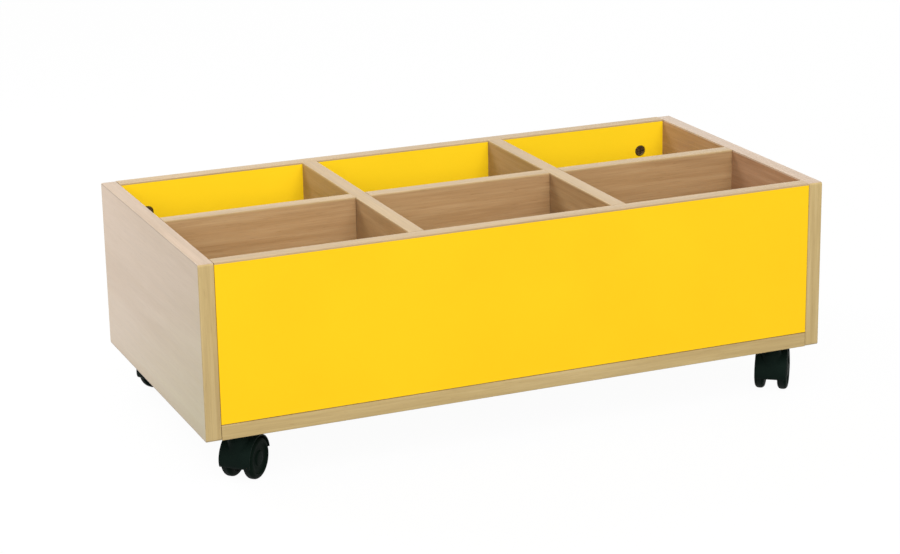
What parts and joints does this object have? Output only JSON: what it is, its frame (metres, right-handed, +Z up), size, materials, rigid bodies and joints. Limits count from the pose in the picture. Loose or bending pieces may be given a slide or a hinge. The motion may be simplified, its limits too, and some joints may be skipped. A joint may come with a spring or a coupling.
{
  "type": "picture book browser bin",
  "caption": "Low open box of wood-look boards with bright front and rear panels, halved dividers forming bays for upright picture books, on swivelling twin-wheel castors.",
  "frame": {"origin": "on the floor below the centre of the box", "axes": "+X along the long front to the right, +Y to the rear, +Z up"},
  "size_m": [0.8, 0.4059, 0.274],
  "materials": {
    "wood_board": "pale wood-grain melamine, satin",
    "yellow_board": "plain warm yellow melamine, satin",
    "edge_band": "wood-grain plastic edging with rounded edges, satin",
    "castor_plastic": "black moulded nylon, satin",
    "zinc_cam": "dark die-cast zinc",
    "steel": "bright zinc-plated steel"
  },
  "bodies": {
    "carcass": {"end_panel_left": "wood_board", "end_panel_right": "wood_board", "front_panel": "yellow_board", "rear_panel": "yellow_board", "bottom_board": "wood_board", "centre_divider": "wood_board", "cross_divider_left": "wood_board", "cross_divider_right": "wood_board", "end_band_left": "edge_band", "end_band_right": "edge_band", "front_top_band": "edge_band", "rear_top_band": "edge_band", "bottom_front_band": "edge_band", "bottom_rear_band": "edge_band", "centre_band_left": "edge_band", "centre_band_middle": "edge_band", "centre_band_right": "edge_band", "cross_band_left": "edge_band", "cross_band_right": "edge_band", "cam_front_left": "zinc_cam", "cam_front_right": "zinc_cam", "cam_rear_left": "zinc_cam", "cam_rear_right": "zinc_cam", "cam_under_front_left": "zinc_cam", "cam_under_front_right": "zinc_cam", "cam_under_rear_left": "zinc_cam", "cam_under_rear_right": "zinc_cam", "bolt_front_left": "steel", "bolt_front_right": "steel", "bolt_rear_left": "steel", "bolt_rear_right": "steel", "bolt_under_front_left": "steel", "bolt_under_front_right": "steel", "bolt_under_rear_left": "steel", "bolt_under_rear_right": "steel", "castor_front_left_plate": "steel", "castor_front_left_pin": "steel", "castor_front_right_plate": "steel", "castor_front_right_pin": "steel", "castor_rear_left_plate": "steel", "castor_rear_left_pin": "steel", "castor_rear_right_plate": "steel", "castor_rear_right_pin": "steel"},
    "front_left_fork": {"castor_front_left_hood": "castor_plastic", "castor_front_left_axle": "steel"},
    "front_left_left_wheel": {"castor_front_left_wheel_left": "castor_plastic"},
    "front_left_right_wheel": {"castor_front_left_wheel_right": "castor_plastic"},
    "front_right_fork": {"castor_front_right_hood": "castor_plastic", "castor_front_right_axle": "steel"},
    "front_right_left_wheel": {"castor_front_right_wheel_left": "castor_plastic"},
    "front_right_right_wheel": {"castor_front_right_wheel_right": "castor_plastic"},
    "rear_left_fork": {"castor_rear_left_hood": "castor_plastic", "castor_rear_left_axle": "steel"},
    "rear_left_left_wheel": {"castor_rear_left_wheel_left": "castor_plastic"},
    "rear_left_right_wheel": {"castor_rear_left_wheel_right": "castor_plastic"},
    "rear_right_fork": {"castor_rear_right_hood": "castor_plastic", "castor_rear_right_axle": "steel"},
    "rear_right_left_wheel": {"castor_rear_right_wheel_left": "castor_plastic"},
    "rear_right_right_wheel": {"castor_rear_right_wheel_right": "castor_plastic"}
  },
  "joints": [
    {"name": "front_left_swivel", "type": "hinge", "parent": "carcass", "child": "front_left_fork", "pos_m": [-0.352, -0.169, 0.05], "axis": [0, 0, 1], "continuous": true},
    {"name": "front_left_left_wheel_roll", "type": "hinge", "parent": "front_left_fork", "child": "front_left_left_wheel", "pos_m": [-0.34281, -0.15981, 0.025], "axis": [0.7071, -0.7071, 0], "continuous": true},
    {"name": "front_left_right_wheel_roll", "type": "hinge", "parent": "front_left_fork", "child": "front_left_right_wheel", "pos_m": [-0.34281, -0.15981, 0.025], "axis": [0.7071, -0.7071, 0], "continuous": true},
    {"name": "front_right_swivel", "type": "hinge", "parent": "carcass", "child": "front_right_fork", "pos_m": [0.352, -0.169, 0.05], "axis": [0, 0, 1], "continuous": true},
    {"name": "front_right_left_wheel_roll", "type": "hinge", "parent": "front_right_fork", "child": "front_right_left_wheel", "pos_m": [0.35964, -0.15848, 0.025], "axis": [0.809, -0.5878, 0], "continuous": true},
    {"name": "front_right_right_wheel_roll", "type": "hinge", "parent": "front_right_fork", "child": "front_right_right_wheel", "pos_m": [0.35964, -0.15848, 0.025], "axis": [0.809, -0.5878, 0], "continuous": true},
    {"name": "rear_left_swivel", "type": "hinge", "parent": "carcass", "child": "rear_left_fork", "pos_m": [-0.352, 0.169, 0.05], "axis": [0, 0, 1], "continuous": true},
    {"name": "rear_left_left_wheel_roll", "type": "hinge", "parent": "rear_left_fork", "child": "rear_left_left_wheel", "pos_m": [-0.34032, 0.1747, 0.025], "axis": [0.4384, -0.8988, 0], "continuous": true},
    {"name": "rear_left_right_wheel_roll", "type": "hinge", "parent": "rear_left_fork", "child": "rear_left_right_wheel", "pos_m": [-0.34032, 0.1747, 0.025], "axis": [0.4384, -0.8988, 0], "continuous": true},
    {"name": "rear_right_swivel", "type": "hinge", "parent": "carcass", "child": "rear_right_fork", "pos_m": [0.352, 0.169, 0.05], "axis": [0, 0, 1], "continuous": true},
    {"name": "rear_right_left_wheel_roll", "type": "hinge", "parent": "rear_right_fork", "child": "rear_right_left_wheel", "pos_m": [0.36326, 0.1755, 0.025], "axis": [0.5, -0.866, 0], "continuous": true},
    {"name": "rear_right_right_wheel_roll", "type": "hinge", "parent": "rear_right_fork", "child": "rear_right_right_wheel", "pos_m": [0.36326, 0.1755, 0.025], "axis": [0.5, -0.866, 0], "continuous": true}
  ]
}
